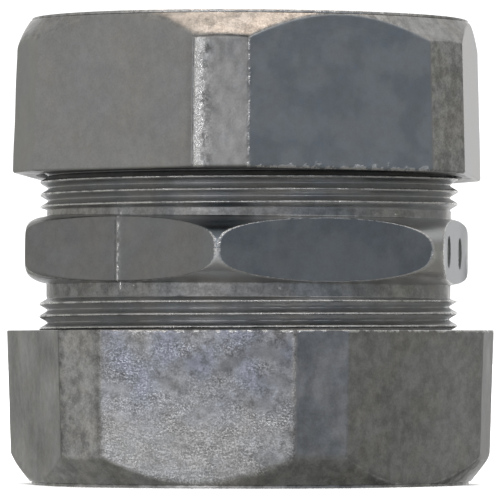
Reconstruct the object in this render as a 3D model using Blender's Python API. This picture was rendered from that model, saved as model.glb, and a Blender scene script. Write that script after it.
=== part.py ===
"""Compression coupling for 1-1/2 inch thin-wall steel conduit (EMT), in die-cast zinc.

The frame: the origin is the centre of the coupling, +Z runs along the conduit to the upper
end and -Y is the front. Angles are counted from the front, positive towards +X. The nuts are
hand-tight: each one traps a split steel ring between its inner shoulder and the body's seat.
"""

import math

import bmesh
import bpy
from mathutils import Matrix

MM = 0.001
FRONT = math.radians(-90)

# Conduit and running clearances
CONDUIT_RADIUS = 22.1 * MM
BORE_CLEARANCE = 0.4 * MM
SEAT_GAP = 0.3 * MM

# Thread, right-hand on both ends of the body, 16 turns per inch
PITCH = 1.5875 * MM
THREAD_CREST = 26.45 * MM
THREAD_ROOT = 25.65 * MM
CREST_FLAT = 0.2 * MM
FLANK_SLOPE = math.tan(math.radians(30))
THREAD_GAP = 0.25 * MM
THREAD_RUNOUT = 0.9 * MM
THREAD_SNAP = 0.06 * PITCH
UPPER_CREST_Z = 5.85 * MM
LOWER_CREST_Z = -6.45 * MM

# Coupling body
BODY_HALF = 21.0 * MM
BODY_LIP = 25.2 * MM
NECK_RADIUS = 25.75 * MM
UPPER_NECK_END = 5.1 * MM
LOWER_NECK_END = 5.75 * MM
BARREL_RADIUS = 30.25 * MM
BARREL_POWER = 3.3
FLAT_APOTHEM = 26.36 * MM
FLAT_HALF_HEIGHT = 3.95 * MM
FLATS_ANGLE = math.radians(22.6)
BARREL_ROWS = 12
FLATS_CUT_DEPTH = 5.0 * MM
FLATS_CUT_HALF_HEIGHT = 4.8 * MM
FLATS_CUT_SPACING = 0.2 * MM
STOP_RADIUS = 20.9 * MM
STOP_HALF = 0.9 * MM

# Compression nuts
NUT_START = 10.0 * MM
NUT_HEIGHT = 19.6 * MM
NUT_CORNER_RADIUS = 31.2 * MM
NUT_DRAFT = math.radians(1.8)
NUT_NARROW_HALF = math.radians(6.33)
NUT_END_RADIUS = 27.75 * MM
NUT_MOUTH_RADIUS = 27.2 * MM
NUT_THREAD_START = 0.5 * MM
NUT_THREAD_END = 11.6 * MM
NUT_CAVITY_RADIUS = 25.9 * MM
NUT_SHOULDER_TOP = 16.9 * MM
NUT_ENTRY_RADIUS = CONDUIT_RADIUS + 0.6 * MM
UPPER_NUT_ANGLE = math.radians(-6.5)
LOWER_NUT_ANGLE = math.radians(-43.05)
UPPER_CHAMFER_HEIGHT = 3.4 * MM
LOWER_CHAMFER_HEIGHT = 3.8 * MM

# Compression rings, bevelled at 45 degrees at both ends
RING_INNER = CONDUIT_RADIUS + 0.2 * MM
RING_OUTER = 24.4 * MM
RING_BEVEL = 1.5 * MM
RING_LENGTH = 6.5 * MM
RING_SLIT = math.radians(8)
UPPER_SLIT_ANGLE = math.radians(150)
LOWER_SLIT_ANGLE = math.radians(205)

COLUMNS = 36
CHAMFER_COLUMNS = 96
OVERSHOOT = 2.0 * MM


def polar(radius, angle, z):
    """The point at this radius and height, at an angle counted from the front."""
    turn = FRONT + angle
    return (radius * math.cos(turn), radius * math.sin(turn), z)


class Thread:
    """A helical thread between the two plain rows before and after it in a turned outline.
    gap grows the profile outwards all over, which gives the nut its running clearance."""

    PER_TURN = 4

    def __init__(self, low, high, crest_z, gap=0.0):
        self.low = low
        self.high = high
        self.crest = THREAD_CREST + gap
        self.root = THREAD_ROOT + gap
        at_crest = CREST_FLAT / 2 + gap / math.cos(math.radians(30)) - gap * FLANK_SLOPE
        at_root = at_crest + (THREAD_CREST - THREAD_ROOT) * FLANK_SLOPE
        self.offsets = (-at_root, -at_crest, at_crest, at_root)
        turns_below = math.ceil((crest_z - low) / PITCH) + 2
        self.first_crest = crest_z - turns_below * PITCH
        self.count = self.PER_TURN * (math.ceil((high - low) / PITCH) + 4)

    def point(self, step, share_of_turn):
        """(z, radius) of one profile point, or which end it has run past."""
        corner = step % self.PER_TURN
        turn = step // self.PER_TURN + share_of_turn
        z = self.first_crest + turn * PITCH + self.offsets[corner]
        if z < self.low + THREAD_SNAP:
            return "low"
        if z > self.high - THREAD_SNAP:
            return "high"
        return z, self.crest if corner in (1, 2) else self.root


def runout(z, radius, low_row, high_row):
    """The thread's radius, faded into the plain rows at both of its ends."""
    for row_z, row_radius in (low_row, high_row):
        share = min(1.0, abs(z - row_z) / THREAD_RUNOUT)
        radius = row_radius + (radius - row_radius) * share
    return radius


def column_points(bm, outline, j, columns):
    """The vertices of one column of a turned mesh, as one list for each item of its outline."""
    angle = math.tau * j / columns
    plain = {
        i: bm.verts.new(polar(item[1], angle, item[0]))
        for i, item in enumerate(outline)
        if not isinstance(item, Thread)
    }
    column = []
    for i, item in enumerate(outline):
        if i in plain:
            column.append([plain[i]])
            continue
        ends = {"low": plain[i - 1], "high": plain[i + 1]}
        stretch = []
        for step in range(item.count):
            found = item.point(step, j / columns)
            if found in ends:
                stretch.append(ends[found])
            else:
                z, radius = found
                radius = runout(z, radius, outline[i - 1], outline[i + 1])
                stretch.append(bm.verts.new(polar(radius, angle, z)))
        column.append(stretch)
    return column


def next_turn(column, outline):
    """The first column as the last one meets it: each thread is one turn further on."""
    shifted = []
    for i, stretch in enumerate(column):
        if isinstance(outline[i], Thread):
            stretch = stretch[Thread.PER_TURN :] + column[i + 1] * Thread.PER_TURN
        shifted.append(stretch)
    return shifted


def turned_mesh(name, outline, closed, columns=COLUMNS):
    """A body of revolution. The outline is a list of (z, radius) rows and Threads: going up on the
    outside and, where closed, down again inside. Open outlines get a flat cap at both ends."""
    bm = bmesh.new()
    lists = [column_points(bm, outline, j, columns) for j in range(columns)]
    lists.append(next_turn(lists[0], outline))
    flat = [[v for stretch in column for v in stretch] for column in lists]
    rows = len(flat[0])
    for left, right in zip(flat, flat[1:]):
        for i in range(rows if closed else rows - 1):
            up = (i + 1) % rows
            corners = [left[i], right[i], right[up], left[up]]
            corners = [v for n, v in enumerate(corners) if v not in corners[:n]]
            if len(corners) > 2:
                bm.faces.new(corners)
    if not closed:
        bm.faces.new([column[0] for column in flat[:-1]])
        bm.faces.new([column[-1] for column in flat[:-1]])
    return finished_mesh(name, bm)


def finished_mesh(name, bm):
    bmesh.ops.recalc_face_normals(bm, faces=bm.faces)
    mesh = bpy.data.meshes.new(name)
    bm.to_mesh(mesh)
    bm.free()
    return mesh


def smooth(mesh):
    mesh.shade_smooth()
    mesh.set_sharp_from_angle(angle=math.radians(25))


def add_object(name, mesh, material=None, parent=None):
    obj = bpy.data.objects.new(name, mesh)
    bpy.context.scene.collection.objects.link(obj)
    obj.parent = parent
    if material:
        mesh.materials.append(material)
        smooth(mesh)
    return obj


def add_cutter(name, mesh, parent):
    cutter = add_object(name, mesh, parent=parent)
    cutter.hide_render = True
    cutter.display_type = "WIRE"
    return cutter


def boolean(target, cutter, operation):
    modifier = target.modifiers.new(cutter.name, "BOOLEAN")
    modifier.object = cutter
    modifier.operation = operation
    modifier.solver = "EXACT"


def metal(name, colour, roughness):
    material = bpy.data.materials.new(name)
    material.use_nodes = True
    shader = material.node_tree.nodes["Principled BSDF"]
    shader.inputs["Base Color"].default_value = (*colour, 1.0)
    shader.inputs["Roughness"].default_value = roughness
    shader.inputs["Metallic"].default_value = 1.0
    return material


def upwards(side, rows):
    """Rows given from the middle to the end of one side, as heights above the middle, in rising order."""
    placed = [(side * z, radius) for z, radius in rows]
    return placed if side > 0 else placed[::-1]


def barrel_rows():
    """The hexagonal ring before its flats are cut: its radius falls so that each flat is an oval."""
    reach_2 = BARREL_RADIUS**2 - FLAT_APOTHEM**2
    foot_2 = BARREL_RADIUS**2 - NECK_RADIUS**2
    half_height = FLAT_HALF_HEIGHT * (foot_2 / reach_2) ** (1 / BARREL_POWER)
    rows = []
    for i in range(BARREL_ROWS + 1):
        z = -half_height * math.cos(math.pi * i / BARREL_ROWS)
        drop_2 = reach_2 * (abs(z) / FLAT_HALF_HEIGHT) ** BARREL_POWER
        radius = math.sqrt(BARREL_RADIUS**2 - drop_2)
        rows.append((z, radius))
    return rows


def body_bore(side):
    """From the conduit stop out to the bevelled seat of the compression ring."""
    bore = CONDUIT_RADIUS + BORE_CLEARANCE
    stop_foot = STOP_HALF + (bore - STOP_RADIUS)
    seat_foot = BODY_HALF - (seat_mouth() - bore)
    mouth = (BODY_HALF, seat_mouth())
    return upwards(side, [(STOP_HALF, STOP_RADIUS), (stop_foot, bore), (seat_foot, bore), mouth])


def seat_mouth():
    """The radius where the body's 45 degree seat meets its end face."""
    ring_start, _ = ring_span()
    return BODY_HALF - ring_start + RING_OUTER - RING_BEVEL + SEAT_GAP * math.sqrt(2)


def ring_span():
    """How far from the middle a compression ring starts and ends, between seat and shoulder."""
    shoulder_at_ring = NUT_START + NUT_SHOULDER_TOP - (RING_OUTER - RING_BEVEL - NUT_ENTRY_RADIUS)
    end = shoulder_at_ring - SEAT_GAP * math.sqrt(2)
    return end - RING_LENGTH, end


def coupling_body(material, frame):
    thread_low = Thread(-BODY_HALF, -LOWER_NECK_END, LOWER_CREST_Z)
    thread_high = Thread(UPPER_NECK_END, BODY_HALF, UPPER_CREST_Z)
    outside = [(-BODY_HALF, BODY_LIP), thread_low, (-LOWER_NECK_END, NECK_RADIUS)]
    outside += barrel_rows()
    outside += [(UPPER_NECK_END, NECK_RADIUS), thread_high, (BODY_HALF, BODY_LIP)]
    inside = (body_bore(-1) + body_bore(1))[::-1]
    mesh = turned_mesh("coupling_body", outside + inside, True)
    body = add_object("coupling_body", mesh, material, frame)
    boolean(body, add_cutter("flats_cutter", flats_mesh(), frame), "DIFFERENCE")
    return body


def flats_mesh():
    """Six blocks that stand just outside the ring's flats."""
    bm = bmesh.new()
    width = 2 * FLAT_APOTHEM * math.tan(math.radians(30)) - FLATS_CUT_SPACING
    for side in range(6):
        block = bmesh.ops.create_cube(bm, size=1.0)["verts"]
        size = Matrix.Diagonal((FLATS_CUT_DEPTH, width, 2 * FLATS_CUT_HALF_HEIGHT, 1.0))
        out = Matrix.Translation((FLAT_APOTHEM + FLATS_CUT_DEPTH / 2, 0, 0))
        turn = Matrix.Rotation(FRONT + FLATS_ANGLE + side * math.radians(60), 4, "Z")
        bmesh.ops.transform(bm, matrix=turn @ out @ size, verts=block)
    return finished_mesh("flats_cutter", bm)


def nut_blank_mesh(name, side, angle):
    """A hexagonal prism with cut-off corners that narrows towards the outer end."""
    bm = bmesh.new()
    corners = [
        angle + math.radians(60) * face + half
        for face in range(6)
        for half in (-NUT_NARROW_HALF, NUT_NARROW_HALF)
    ]
    rings = []
    for z in (0.0, NUT_HEIGHT + OVERSHOOT):
        radius = NUT_CORNER_RADIUS - z * math.tan(NUT_DRAFT)
        rings.append([bm.verts.new(polar(radius, corner, side * z)) for corner in corners])
    near, far = rings
    bm.faces.new(near)
    bm.faces.new(far)
    for i in range(len(near)):
        after = (i + 1) % len(near)
        bm.faces.new([near[i], near[after], far[after], far[i]])
    return finished_mesh(name, bm)


def chamfer_rows(side, chamfer_height):
    """The turned outline that trims a nut's outer end: a cone that leaves a round end face."""
    corner_radius = NUT_CORNER_RADIUS - (NUT_HEIGHT - chamfer_height) * math.tan(NUT_DRAFT)
    slope = chamfer_height / (corner_radius - NUT_END_RADIUS)
    wide = NUT_CORNER_RADIUS + OVERSHOOT
    foot = NUT_HEIGHT - slope * (wide - NUT_END_RADIUS)
    return upwards(side, [(-OVERSHOOT, wide), (foot, wide), (NUT_HEIGHT, NUT_END_RADIUS)])


def nut_inside_outline(side, crest_z):
    """What is taken out of a nut: mouth, thread, cavity, 45 degree shoulder and conduit entry."""
    thread_ends = sorted((side * NUT_THREAD_START, side * NUT_THREAD_END))
    thread = Thread(*thread_ends, crest_z - side * NUT_START, gap=THREAD_GAP)
    shoulder_foot = NUT_SHOULDER_TOP - (NUT_CAVITY_RADIUS - NUT_ENTRY_RADIUS)
    mouth = upwards(side, [(-OVERSHOOT, NUT_MOUTH_RADIUS), (NUT_THREAD_START, NUT_MOUTH_RADIUS)])
    cavity = upwards(
        side,
        [
            (NUT_THREAD_END, NUT_CAVITY_RADIUS),
            (shoulder_foot, NUT_CAVITY_RADIUS),
            (NUT_SHOULDER_TOP, NUT_ENTRY_RADIUS),
            (NUT_HEIGHT + OVERSHOOT, NUT_ENTRY_RADIUS),
        ],
    )
    return mouth + [thread] + cavity if side > 0 else cavity + [thread] + mouth


def compression_nut(end, side, angle, chamfer_height, crest_z, material, frame):
    """One nut with its open end towards the middle. Its origin is on the axis, at that end."""
    name = f"{end}_compression_nut"
    nut = add_object(name, nut_blank_mesh(name, side, angle), material, frame)
    nut.location.z = side * NUT_START
    trim = turned_mesh(f"{end}_nut_trim", chamfer_rows(side, chamfer_height), False, CHAMFER_COLUMNS)
    tap = turned_mesh(f"{end}_nut_tap", nut_inside_outline(side, crest_z), False)
    for mesh, operation in ((trim, "INTERSECT"), (tap, "DIFFERENCE")):
        cutter = add_cutter(mesh.name, mesh, frame)
        cutter.location.z = nut.location.z
        boolean(nut, cutter, operation)
    return nut


def compression_ring(end, side, slit_angle, material, frame):
    """A split ring of flat steel with bevelled ends, which the nut squeezes on to the conduit."""
    start, _ = ring_span()
    outline = [
        (0.0, RING_INNER),
        (0.0, RING_OUTER - RING_BEVEL),
        (RING_BEVEL, RING_OUTER),
        (RING_LENGTH - RING_BEVEL, RING_OUTER),
        (RING_LENGTH, RING_OUTER - RING_BEVEL),
        (RING_LENGTH, RING_INNER),
    ]
    bm = bmesh.new()
    columns = []
    for j in range(COLUMNS + 1):
        angle = slit_angle + RING_SLIT / 2 + (math.tau - RING_SLIT) * j / COLUMNS
        columns.append([bm.verts.new(polar(radius, angle, side * z)) for z, radius in outline])
    for left, right in zip(columns, columns[1:]):
        for i in range(len(outline)):
            after = (i + 1) % len(outline)
            bm.faces.new([left[i], right[i], right[after], left[after]])
    bm.faces.new(columns[0])
    bm.faces.new(columns[-1])
    name = f"{end}_compression_ring"
    ring = add_object(name, finished_mesh(name, bm), material, frame)
    ring.location.z = side * start
    return ring


def main():
    for obj in list(bpy.data.objects):
        bpy.data.objects.remove(obj)
    zinc = metal("die_cast_zinc", (0.42, 0.43, 0.45), 0.45)
    nut_zinc = metal("die_cast_zinc_nut", (0.45, 0.45, 0.46), 0.5)
    steel = metal("ring_steel", (0.55, 0.56, 0.58), 0.35)
    frame = bpy.data.objects.new("conduit_axis", None)
    bpy.context.scene.collection.objects.link(frame)
    coupling_body(zinc, frame)
    upper = (UPPER_NUT_ANGLE, UPPER_CHAMFER_HEIGHT, UPPER_CREST_Z)
    lower = (LOWER_NUT_ANGLE, LOWER_CHAMFER_HEIGHT, LOWER_CREST_Z)
    compression_nut("upper", 1, *upper, nut_zinc, frame)
    compression_nut("lower", -1, *lower, nut_zinc, frame)
    compression_ring("upper", 1, UPPER_SLIT_ANGLE, steel, frame)
    compression_ring("lower", -1, LOWER_SLIT_ANGLE, steel, frame)


main()
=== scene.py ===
"""Looks of the conduit compression coupling: fine meshes and cast-zinc materials round the CAD."""

import math

import bmesh
import bpy
import numpy as np
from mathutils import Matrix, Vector


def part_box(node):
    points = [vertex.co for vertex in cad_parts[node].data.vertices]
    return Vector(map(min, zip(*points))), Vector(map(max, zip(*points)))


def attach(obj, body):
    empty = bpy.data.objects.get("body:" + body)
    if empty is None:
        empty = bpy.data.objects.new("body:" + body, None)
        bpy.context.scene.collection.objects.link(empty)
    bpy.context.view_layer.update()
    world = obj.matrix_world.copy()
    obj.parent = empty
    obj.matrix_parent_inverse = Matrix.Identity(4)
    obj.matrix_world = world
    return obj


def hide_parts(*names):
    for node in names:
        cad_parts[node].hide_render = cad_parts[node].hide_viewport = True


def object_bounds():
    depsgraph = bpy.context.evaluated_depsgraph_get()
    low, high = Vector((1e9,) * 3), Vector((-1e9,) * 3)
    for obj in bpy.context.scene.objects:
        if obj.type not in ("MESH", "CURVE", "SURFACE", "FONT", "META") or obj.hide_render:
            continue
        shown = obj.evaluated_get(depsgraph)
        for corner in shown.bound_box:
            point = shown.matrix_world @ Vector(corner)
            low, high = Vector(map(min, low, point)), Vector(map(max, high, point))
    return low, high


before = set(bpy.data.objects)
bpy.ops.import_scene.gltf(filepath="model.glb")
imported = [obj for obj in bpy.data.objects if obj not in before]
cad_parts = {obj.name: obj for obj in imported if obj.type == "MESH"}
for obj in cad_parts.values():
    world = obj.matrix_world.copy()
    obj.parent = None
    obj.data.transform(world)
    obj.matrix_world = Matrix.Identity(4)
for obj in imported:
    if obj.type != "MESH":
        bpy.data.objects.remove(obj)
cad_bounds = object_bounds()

MM = 0.001
TURN = math.tau
FRONT = math.radians(-90)
SIXTH = math.radians(60)

# Thread, right-hand at both ends
PITCH = 1.5875 * MM
THREAD_CREST = 26.64 * MM
THREAD_ROOT = 25.62 * MM
CREST_ROUNDING = 0.16 * MM
ROOT_ROUNDING = 0.22 * MM
SHARP_DEPTH = PITCH / 2 / math.tan(math.radians(30))
POINTS_PER_TURN = 14
THREAD_RUNOUT = 0.35 * MM
THREAD_PLAY = 0.42 * MM
UPPER_CREST_Z = 5.85 * MM
LOWER_CREST_Z = -6.45 * MM
CREST_WEAR_AND_GLINT_DEPTH = 0.14 * MM
THREAD_SAND = 0.2
THREAD_COOL = 0.05
THREAD_NICKS = 0.015 * MM
# Painted shade on the thread inside a nut
INNER_THREAD_SHADE = -0.5

# A band of painted shade on the upper thread, at the edge of the nut
GAP_SHADE_BAND = (9.1 * MM, 10.9 * MM)
GAP_SHADE_TONE = -0.52
THREAD_FADE = 0.6 * MM

# Tones across the front, painted light and shade: level, slope to the right and rise towards both sides
LOWER_NECK_SHADE = (-0.13, 0.13, 0.0)
UPPER_NECK_SHADE = (-0.10, 0.05, 0.08)
LOWER_THREAD_TONE = (0.07, 0.06, 0.06)
UPPER_THREAD_TONE = (0.07, 0.10, 0.06)

# Coupling body
NECK_RADIUS = 25.75 * MM
NECK_SAND = 0.33
NECK_STEP = 0.05 * MM
UPPER_NECK_END = 5.1 * MM
LOWER_NECK_END = 5.8 * MM
BORE_RADIUS = 22.5 * MM
STOP_RADIUS = 20.9 * MM
STOP_HALF = 0.9 * MM
SEAT_MOUTH = 24.54 * MM
SEAT_LIP = 0.15 * MM
BODY_LIP = 25.2 * MM
SEAM_ANGLE = math.radians(-38.2)
SEAM_RIDGE = 0.15 * MM
SEAM_HEIGHT = 0.06 * MM
SEAM_GROOVE = -0.42 * MM
SEAM_HALO = 0.45 * MM

# The hexagonal ring: flat faces 60 degrees apart, and a barrel that cuts them to ovals
RING_HALF = 4.7 * MM
FLAT_APOTHEM = 26.36 * MM
FLAT_HALF_HEIGHT = 3.95 * MM
FLATS_ANGLE = math.radians(22.6)
FRONT_CORNER = FLATS_ANGLE - SIXTH / 2
RIGHT_CORNER = FRONT_CORNER + SIXTH
BARREL_LEAST = 20 * MM

# One value for each corner of the ring, from RIGHT_CORNER on round to FRONT_CORNER
CORNER_RADII = (29.85 * MM, 30.6 * MM, 30.3 * MM, 30.3 * MM, 30.6 * MM, 30.3 * MM)
CORNER_POWERS = (2.8, 6.2, 4.5, 4.5, 5.2, 3.2)
CORNER_RISES = (0.0, 0.40 * MM, 0.1 * MM, 0.1 * MM, 0.30 * MM, 0.0)
CORNER_FALLS = (0.0, 0.05 * MM, 0.1 * MM, 0.1 * MM, 0.20 * MM, 0.0)
CORNER_BLENDS = (0.10 * MM, 0.20 * MM, 0.20 * MM, 0.20 * MM, 1.10 * MM, 0.10 * MM)
# Painted light: the barrel is paler at each corner, where it tilts up between the ovals
CORNER_PAINTED_LIGHT = (0.45, 0.3, 0.2, 0.2, 0.3, 0.16)
CORNER_BULGES = ((RIGHT_CORNER + SIXTH, 0.28 * MM), (FRONT_CORNER - SIXTH, 0.24 * MM))
BULGE_REACH = math.radians(7)

# Dimples in one flat of the ring, which is smoother than the others
DIMPLE_FLAT = FLATS_ANGLE + SIXTH
DIMPLE_OFFSET = 7.0 * MM
DIMPLE_RADIUS = 2.1 * MM
DIMPLE_DEPTH = 0.22 * MM
DIMPLE_EDGE = 0.25 * MM
DIMPLE_TONE = -0.35
SMOOTH_FLAT_REACH = math.radians(26)

# Compression nuts
NUT_DRAFT = math.radians(1.8)
NUT_NARROW_HALF = math.radians(6.33)
NUT_END_RADIUS = 27.68 * MM
NUT_RIM_HEIGHT = 0.42 * MM
NUT_RIM_LEDGE = 0.10 * MM
NUT_CHAMFER_ZONE = 4.2 * MM
NUT_MOUTH_RADIUS = 27.2 * MM
# Painted shade on the nut's mouth and open end
NUT_MOUTH_SHADE = -0.6
NUT_THREAD_START = 0.5 * MM
NUT_THREAD_END = 11.6 * MM
NUT_CAVITY_RADIUS = 25.9 * MM
NUT_SHOULDER_TOP = 16.9 * MM
NUT_ENTRY_RADIUS = 22.7 * MM
NUT_ENTRY_ROUND = 0.4 * MM
FAR = 60 * MM
STRIP_WIDTH = 1.35 * MM
STRIP_DEPTH = 0.13 * MM
UPPER_NUT_TURN = math.radians(-6.5)
LOWER_NUT_TURN = math.radians(-43.05)
UPPER_FILLET = 0.35 * MM
LOWER_FILLET = 0.15 * MM

# A nut's faces are numbered to the right, from the narrow one that its turn places
NARROW, WIDE, NEXT_NARROW, NEXT_WIDE, THIRD_NARROW, LAST_WIDE = 0, 1, 2, 3, 4, 11

# Sand and tone of the faces that differ from plain skin
PLAIN_FINISH = (0.1, 0.0)
UPPER_FINISH = {
    NARROW: (0.21, 0.0),
    WIDE: (0.08, -0.03),
    NEXT_NARROW: (0.42, 0.08),
    NEXT_WIDE: (0.0, 0.1),
    LAST_WIDE: (0.20, 0.0),
}
LOWER_FINISH = {
    NARROW: (0.42, 0.10),
    WIDE: (0.6, 0.0),
    NEXT_NARROW: (0.24, 0.04),
    NEXT_WIDE: (0.26, -0.03),
    THIRD_NARROW: (0.05, -0.14),
    LAST_WIDE: (0.20, -0.20),
}

# The upper nut and the body lean a little to the right in their loose threads, and the upper nut's
# open end hangs lower at the sides and the back
BODY_LEAN = 0.0070
UPPER_NUT_LEAN = 0.0055
LEAN_PIVOT = 9.6 * MM
UPPER_NUT_SAG = 0.50 * MM
UPPER_NUT_SAG_SLOPE = 0.015
UPPER_NUT_SAG_MOST = 0.8 * MM
UPPER_NUT_SAG_REACH = 5 * MM

# Split steel rings
SLIT_ANGLE = math.radians(8)
STEEL_BEVEL = 1.5 * MM
STEEL_EDGE = 0.15 * MM
STEEL_COLUMNS = 220

# Mesh density
BODY_COLUMNS = 288
RING_SPLIT = 3
RING_ROWS = 100
NUT_COLUMNS = 540
LEAST_COLUMN = math.radians(0.04)
SEAM_REACH, SEAM_COLUMNS = math.radians(2.0), 33
CORNER_REACH, CORNER_COLUMNS = math.radians(0.9), 13

# Camera and stage
CAMERA_DISTANCE = 0.842
CAMERA_DROP = 0.0122
LENS = 475.3
SENSOR = 36.0
PITCH_UP = math.radians(0.864)
YAW = math.radians(-0.007)
FLOOR_SIZE = 12.0
FLOOR_LIGHT = 5.5
FLOOR_SPREAD = math.radians(150)

# Lights: azimuth and elevation in degrees, distance and size in metres, radiance, colour
SOFTBOXES = {
    "front_left": (-26.5, 12, 1.2, (0.16, 0.24), 5.0, (1.0, 0.98, 0.97)),
    "front_right": (26, 30, 1.2, (0.14, 0.20), 5.0, (1.0, 0.98, 0.97)),
    "overhead": (0, 97, 0.9, (0.66, 0.5), 1.9, (1.0, 0.79, 0.62)),
}

# Colours of the room by direction, each list from the left to the right of the object
ROOM_FRONT = (
    (-1.0, (0.38, 0.38, 0.37)),
    (-0.75, (0.375, 0.375, 0.37)),
    (-0.42, (0.35, 0.365, 0.405)),
    (-0.2, (0.37, 0.37, 0.375)),
    (0.1, (0.33, 0.34, 0.36)),
    (0.55, (0.175, 0.197, 0.228)),
    (0.80, (0.166, 0.186, 0.212)),
    (1.0, (0.25, 0.25, 0.235)),
)
ROOM_REAR = (
    (-1.0, (0.37, 0.37, 0.355)),
    (-0.5, (0.33, 0.33, 0.31)),
    (0.0, (0.33, 0.33, 0.32)),
    (0.5, (0.27, 0.27, 0.265)),
    (1.0, (0.25, 0.25, 0.235)),
)
ROOM_UPPER = (
    (-1.0, (0.33, 0.33, 0.32)),
    (-0.4, (0.38, 0.38, 0.37)),
    (0.2, (0.42, 0.42, 0.41)),
    (0.6, (0.58, 0.58, 0.57)),
)
ROOM_BACK = (1.27, 1.27, 1.27, 1.0)
ROOM_LOW = (
    (-1.0, (0.31, 0.31, 0.295)),
    (-0.2, (0.30, 0.30, 0.285)),
    (0.4, (0.19, 0.19, 0.18)),
    (1.0, (0.19, 0.19, 0.18)),
)
ROOM_BELOW = (0.15, 0.15, 0.14, 1.0)


def smooth_min(a, b, blend):
    near = np.clip(blend - np.abs(a - b), 0, None)
    return np.minimum(a, b) - near * near / (4 * blend)


def smooth_max(a, b, blend):
    return -smooth_min(-a, -b, blend)


def ease(x):
    """A smooth step from 0 to 1."""
    x = np.clip(x, 0, 1)
    return x * x * (3 - 2 * x)


def bell(x, width):
    """1 at the middle, falling to 0 beyond about twice the width."""
    return np.exp(-((x / width) ** 2))


def plateau(x, half_width):
    """1 all round the middle, falling quickly to 0 round the half width."""
    return np.exp(-((x / half_width) ** 6))


def turned(angle):
    """The same angle, between minus and plus half a turn."""
    return (angle + math.pi) % TURN - math.pi


def along_arc(angle, start, radius):
    """Distance to the right of the start angle, round a circle of this radius."""
    return turned(angle - start) * radius


# Painted light and shade that changes from the left to the right of the front, and towards both sides
def tone_across(angle, level, slope, rise):
    across = np.sin(angle)
    return level + slope * across + rise * across**2


class Waves:
    """Soft unevenness: a sum of waves in random directions, the same on every run."""

    def __init__(self, seed, size, count=24):
        rng = np.random.default_rng(seed)
        direction = rng.normal(size=(count, 3))
        direction /= np.linalg.norm(direction, axis=1)[:, None]
        self.k = direction * (TURN / size * rng.uniform(0.6, 1.6, count))[:, None]
        self.phase = rng.uniform(0, TURN, count)

    def __call__(self, points):
        return np.sin(points @ self.k.T + self.phase).sum(axis=1) / math.sqrt(len(self.phase))


SEAM_NOISE = Waves(11, 0.8 * MM)
RING_NOISE = Waves(12, 6 * MM)
THREAD_NOISE = Waves(13, 1.6 * MM)
NECK_NOISE = Waves(14, 1.0 * MM)


def polar(radius, angle, z):
    turn = FRONT + angle
    return np.stack([radius * np.cos(turn), radius * np.sin(turn), z + 0 * radius], axis=-1)


class Skin:
    """A closed turned surface, built from rows of vertices. Each row holds one vertex number for each
    column, and one more for the seam, where the last column meets the first again.

    Every vertex carries its finish and painted light: wear_and_glint (rubbed bright, and painted glints and
    edge highlights), sand (coarse skin, with a painted sparkle), tone (paler above 0, darker below it, with
    much painted light and shade in it) and cool (bluish)."""

    def __init__(self, angles):
        self.angles = angles
        self.points = []
        self.finish = []
        self.faces = []
        self.count = 0

    def row(self, radius, z, wear_and_glint=0.0, sand=0.0, tone=0.0, cool=0.0, angles=None):
        angles = self.angles if angles is None else angles
        shape = angles.shape
        radius = np.broadcast_to(radius, shape).astype(float)
        z = np.broadcast_to(z, shape).astype(float)
        self.points.append(polar(radius, angles, z))
        finish = [np.broadcast_to(v, shape) for v in (wear_and_glint, sand, tone, cool)]
        self.finish.append(np.stack(finish, axis=1))
        ids = self.count + np.arange(len(angles))
        self.count += len(angles)
        return np.append(ids, ids[0])

    def strip(self, low, high):
        self.faces.append(np.stack([low[:-1], low[1:], high[1:], high[:-1]], axis=1).tolist())

    def fan(self, coarse, fine, split, coarse_below=True):
        """Joins a coarse row to one with split times as many columns."""
        many = []
        for j in range(len(coarse) - 1):
            chamfer_glint = [int(v) for v in fine[j * split : (j + 1) * split + 1]]
            pair = [int(coarse[j]), int(coarse[j + 1])]
            many.append(pair + chamfer_glint[::-1] if coarse_below else chamfer_glint + pair[::-1])
        self.faces.append(many)

    def mesh(self, name, lean=0.0, sag=None):
        points = np.concatenate(self.points)
        finish = np.concatenate(self.finish)
        if sag is not None:
            points[:, 2] -= sag(points)
        height = points[:, 2] - LEAN_PIVOT
        points[:, 2] -= points[:, 0] * lean
        points[:, 0] += height * lean
        faces = []
        for face in (face for block in self.faces for face in block):
            kept = [v for n, v in enumerate(face) if v not in face[:n]]
            if len(kept) > 2:
                faces.append(kept)
        used = np.zeros(len(points), bool)
        used[[v for face in faces for v in face]] = True
        number = np.cumsum(used) - 1
        made = bpy.data.meshes.new(name)
        made.from_pydata(points[used].tolist(), [], [[int(number[v]) for v in face] for face in faces])
        bm = bmesh.new()
        bm.from_mesh(made)
        bmesh.ops.recalc_face_normals(bm, faces=bm.faces)
        bm.to_mesh(made)
        bm.free()
        for layer, values in zip(("wear_and_glint", "sand", "tone", "cool"), finish[used].T):
            attribute = made.attributes.new(layer, "FLOAT", "POINT")
            attribute.data.foreach_set("value", np.ascontiguousarray(values, np.float32))
        return made


def thread_profile(z, crest_z, grow=0.0):
    """Radius and crest brightness of the rounded 60 degree thread at height z, where one crest is at
    crest_z.
    """
    from_root = 1 - np.abs(((z - crest_z) / PITCH + 0.5) % 1 - 0.5) * 2
    middle = (THREAD_CREST + THREAD_ROOT) / 2
    radius = middle + (from_root - 0.5) * SHARP_DEPTH
    radius = smooth_min(radius, THREAD_CREST, CREST_ROUNDING)
    radius = smooth_max(radius, THREAD_ROOT, ROOT_ROUNDING)
    # Crest brightness: partly rubbed metal, partly a painted highlight
    wear_and_glint = ease((radius - THREAD_CREST + CREST_ROUNDING) / CREST_WEAR_AND_GLINT_DEPTH)
    return radius + grow, wear_and_glint


def neck_shade(angle, z):
    """Painted shade: the recessed necks are darker than the ring, the lower one most of all at its left."""
    return tone_across(angle, *(LOWER_NECK_SHADE if z < 0 else UPPER_NECK_SHADE))


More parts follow.
